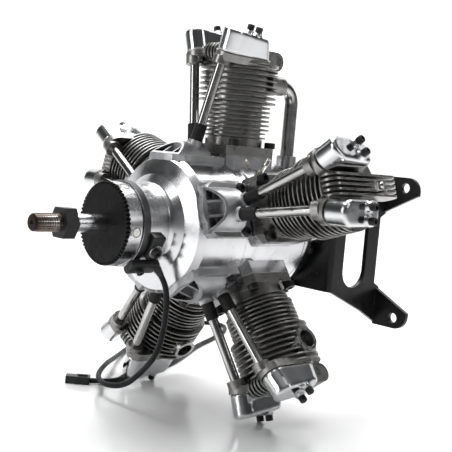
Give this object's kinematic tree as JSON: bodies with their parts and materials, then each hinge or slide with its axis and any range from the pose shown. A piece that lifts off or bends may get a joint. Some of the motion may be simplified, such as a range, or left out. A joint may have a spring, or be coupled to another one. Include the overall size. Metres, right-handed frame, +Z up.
{
  "type": "radial aircraft engine",
  "caption": "Five-cylinder four-stroke radial engine for large model aircraft, with overhead valves, intake pipes, nose ignition sensor and firewall mount",
  "frame": {"origin": "centre of the four-bolt pattern, on the plane of the firewall", "axes": "+Z up, -Y along the crankshaft towards the propeller, +X to the left of someone who looks at the propeller from the front"},
  "size_m": [0.3242, 0.3189, 0.2432],
  "materials": {
    "black_plastic": "matt",
    "black_rubber": "matt",
    "black_screw": "black oxide",
    "black_steel": "black, satin",
    "brass": "machined",
    "bright_steel": "bright steel",
    "bronze_thread": "bright shaft with a dark thread",
    "cable_jacket": "matt",
    "carb_alloy": "anodised dark",
    "cast_grey": "sand cast, grey",
    "chrome_cover": "polished chrome",
    "chrome_pipe": "polished chrome",
    "cylinder_metal": "machined, dark grey",
    "inner_steel": "ground",
    "magnet_metal": "plated",
    "piston_alloy": "turned",
    "polished_case": "polished",
    "spring_steel": "oiled",
    "white_ceramic": "glazed"
  },
  "bodies": {
    "engine": {"breather_nipple": "brass", "carburettor": "carb_alloy", "cover_screws": "black_screw", "crankcase_front": "polished_case", "crankcase_main": "polished_case", "crankcase_screws": "black_screw", "cylinder_1": "cylinder_metal", "cylinder_2": "cylinder_metal", "cylinder_3": "cylinder_metal", "cylinder_4": "cylinder_metal", "cylinder_5": "cylinder_metal", "engine_mount": "black_steel", "idler_pin": "inner_steel", "intake_pipes": "chrome_pipe", "link_rods": "inner_steel", "master_rod": "inner_steel", "pistons": "piston_alloy", "pushrod_tubes": "chrome_pipe", "pushrods": "inner_steel", "rear_cover": "polished_case", "rocker_covers": "chrome_cover", "rocker_pins": "inner_steel", "rod_pins": "inner_steel", "sensor_body": "black_plastic", "sensor_bracket": "black_plastic", "sensor_cord": "cable_jacket", "sensor_plug": "black_plastic", "shaft_bearings": "inner_steel", "spark_plugs": "white_ceramic", "tappet_housings": "cast_grey", "tube_boots": "black_rubber", "valve_springs": "spring_steel"},
    "crank": {"crankshaft": "bronze_thread", "drive_washer": "bright_steel", "trigger_magnets": "magnet_metal", "prop_nut": "black_screw"},
    "cam": {"cam_ring": "inner_steel"},
    "idler": {"idler_gear": "inner_steel"},
    "throttle": {"throttle_barrel": "bright_steel"},
    "intake_rocker_1": {"intake_rocker_1": "inner_steel"},
    "intake_valve_1": {"intake_valve_1": "inner_steel"},
    "exhaust_rocker_1": {"exhaust_rocker_1": "inner_steel"},
    "exhaust_valve_1": {"exhaust_valve_1": "inner_steel"},
    "intake_rocker_2": {"intake_rocker_2": "inner_steel"},
    "intake_valve_2": {"intake_valve_2": "inner_steel"},
    "exhaust_rocker_2": {"exhaust_rocker_2": "inner_steel"},
    "exhaust_valve_2": {"exhaust_valve_2": "inner_steel"},
    "intake_rocker_3": {"intake_rocker_3": "inner_steel"},
    "intake_valve_3": {"intake_valve_3": "inner_steel"},
    "exhaust_rocker_3": {"exhaust_rocker_3": "inner_steel"},
    "exhaust_valve_3": {"exhaust_valve_3": "inner_steel"},
    "intake_rocker_4": {"intake_rocker_4": "inner_steel"},
    "intake_valve_4": {"intake_valve_4": "inner_steel"},
    "exhaust_rocker_4": {"exhaust_rocker_4": "inner_steel"},
    "exhaust_valve_4": {"exhaust_valve_4": "inner_steel"},
    "intake_rocker_5": {"intake_rocker_5": "inner_steel"},
    "intake_valve_5": {"intake_valve_5": "inner_steel"},
    "exhaust_rocker_5": {"exhaust_rocker_5": "inner_steel"},
    "exhaust_valve_5": {"exhaust_valve_5": "inner_steel"}
  },
  "joints": [
    {"name": "crank_spin", "type": "hinge", "parent": "engine", "child": "crank", "pos_m": [0, -0.1, 0.0105], "axis": [0, 1, 0], "continuous": true},
    {"name": "idler_spin", "type": "hinge", "parent": "engine", "child": "idler", "pos_m": [0, -0.134, -0.0063], "axis": [0, 1, 0], "continuous": true},
    {"name": "cam_spin", "type": "hinge", "parent": "engine", "child": "cam", "pos_m": [0, -0.136, 0.0105], "axis": [0, 1, 0], "continuous": true},
    {"name": "throttle_turn", "type": "hinge", "parent": "engine", "child": "throttle", "pos_m": [0, -0.034, 0.0105], "axis": [0, 0, 1], "range_deg": [0, 80]},
    {"name": "intake_rocker_1_pivot", "type": "hinge", "parent": "engine", "child": "intake_rocker_1", "pos_m": [0.01588, -0.114, 0.12363], "axis": [-0.9563, 0, 0.2924], "range_deg": [0, 15]},
    {"name": "intake_valve_1_slide", "type": "slide", "parent": "engine", "child": "intake_valve_1", "axis": [-0.2924, 0, -0.9563], "range_m": [0, 0.00288]},
    {"name": "exhaust_rocker_1_pivot", "type": "hinge", "parent": "engine", "child": "exhaust_rocker_1", "pos_m": [-0.01588, -0.114, 0.12363], "axis": [-0.9563, 0, -0.2924], "range_deg": [0, 15]},
    {"name": "exhaust_valve_1_slide", "type": "slide", "parent": "engine", "child": "exhaust_valve_1", "axis": [0.2924, 0, -0.9563], "range_m": [0, 0.00288]},
    {"name": "intake_rocker_2_pivot", "type": "hinge", "parent": "engine", "child": "intake_rocker_2", "pos_m": [0.1125, -0.114, 0.03035], "axis": [-0.0175, 0, 0.9998], "range_deg": [0, 15]},
    {"name": "intake_valve_2_slide", "type": "slide", "parent": "engine", "child": "intake_valve_2", "axis": [-0.9998, 0, -0.0175], "range_m": [0, 0.00288]},
    {"name": "exhaust_rocker_2_pivot", "type": "hinge", "parent": "engine", "child": "exhaust_rocker_2", "pos_m": [0.10268, -0.114, 0.06057], "axis": [-0.5736, 0, 0.8192], "range_deg": [0, 15]},
    {"name": "exhaust_valve_2_slide", "type": "slide", "parent": "engine", "child": "exhaust_valve_2", "axis": [-0.8192, 0, -0.5736], "range_m": [0, 0.00288]},
    {"name": "intake_rocker_3_pivot", "type": "hinge", "parent": "engine", "child": "intake_rocker_3", "pos_m": [0.05364, -0.114, -0.09036], "axis": [0.9455, 0, 0.3256], "range_deg": [0, 15]},
    {"name": "intake_valve_3_slide", "type": "slide", "parent": "engine", "child": "intake_valve_3", "axis": [-0.3256, 0, 0.9455], "range_m": [0, 0.00288]},
    {"name": "exhaust_rocker_3_pivot", "type": "hinge", "parent": "engine", "child": "exhaust_rocker_3", "pos_m": [0.07935, -0.114, -0.07169], "axis": [0.6018, 0, 0.7986], "range_deg": [0, 15]},
    {"name": "exhaust_valve_3_slide", "type": "slide", "parent": "engine", "child": "exhaust_valve_3", "axis": [-0.7986, 0, 0.6018], "range_m": [0, 0.00288]},
    {"name": "intake_rocker_4_pivot", "type": "hinge", "parent": "engine", "child": "intake_rocker_4", "pos_m": [-0.07935, -0.114, -0.07169], "axis": [0.6018, 0, -0.7986], "range_deg": [0, 15]},
    {"name": "intake_valve_4_slide", "type": "slide", "parent": "engine", "child": "intake_valve_4", "axis": [0.7986, 0, 0.6018], "range_m": [0, 0.00288]},
    {"name": "exhaust_rocker_4_pivot", "type": "hinge", "parent": "engine", "child": "exhaust_rocker_4", "pos_m": [-0.05364, -0.114, -0.09036], "axis": [0.9455, 0, -0.3256], "range_deg": [0, 15]},
    {"name": "exhaust_valve_4_slide", "type": "slide", "parent": "engine", "child": "exhaust_valve_4", "axis": [0.3256, 0, 0.9455], "range_m": [0, 0.00288]},
    {"name": "intake_rocker_5_pivot", "type": "hinge", "parent": "engine", "child": "intake_rocker_5", "pos_m": [-0.10268, -0.114, 0.06057], "axis": [-0.5736, 0, -0.8192], "range_deg": [0, 15]},
    {"name": "intake_valve_5_slide", "type": "slide", "parent": "engine", "child": "intake_valve_5", "axis": [0.8192, 0, -0.5736], "range_m": [0, 0.00288]},
    {"name": "exhaust_rocker_5_pivot", "type": "hinge", "parent": "engine", "child": "exhaust_rocker_5", "pos_m": [-0.1125, -0.114, 0.03035], "axis": [-0.0175, 0, -0.9998], "range_deg": [0, 15]},
    {"name": "exhaust_valve_5_slide", "type": "slide", "parent": "engine", "child": "exhaust_valve_5", "axis": [0.9998, 0, -0.0175], "range_m": [0, 0.00288]}
  ],
  "couplings": [
    {"joint": "idler_spin", "follows": "crank_spin", "ratio": -0.75},
    {"joint": "cam_spin", "follows": "crank_spin", "ratio": -0.25},
    {"joint": "intake_rocker_1_pivot", "follows": "intake_valve_1_slide", "rad_per_m": 90.9},
    {"joint": "exhaust_rocker_1_pivot", "follows": "exhaust_valve_1_slide", "rad_per_m": 90.9},
    {"joint": "intake_rocker_2_pivot", "follows": "intake_valve_2_slide", "rad_per_m": 90.9},
    {"joint": "exhaust_rocker_2_pivot", "follows": "exhaust_valve_2_slide", "rad_per_m": 90.9},
    {"joint": "intake_rocker_3_pivot", "follows": "intake_valve_3_slide", "rad_per_m": 90.9},
    {"joint": "exhaust_rocker_3_pivot", "follows": "exhaust_valve_3_slide", "rad_per_m": 90.9},
    {"joint": "intake_rocker_4_pivot", "follows": "intake_valve_4_slide", "rad_per_m": 90.9},
    {"joint": "exhaust_rocker_4_pivot", "follows": "exhaust_valve_4_slide", "rad_per_m": 90.9},
    {"joint": "intake_rocker_5_pivot", "follows": "intake_valve_5_slide", "rad_per_m": 90.9},
    {"joint": "exhaust_rocker_5_pivot", "follows": "exhaust_valve_5_slide", "rad_per_m": 90.9}
  ]
}
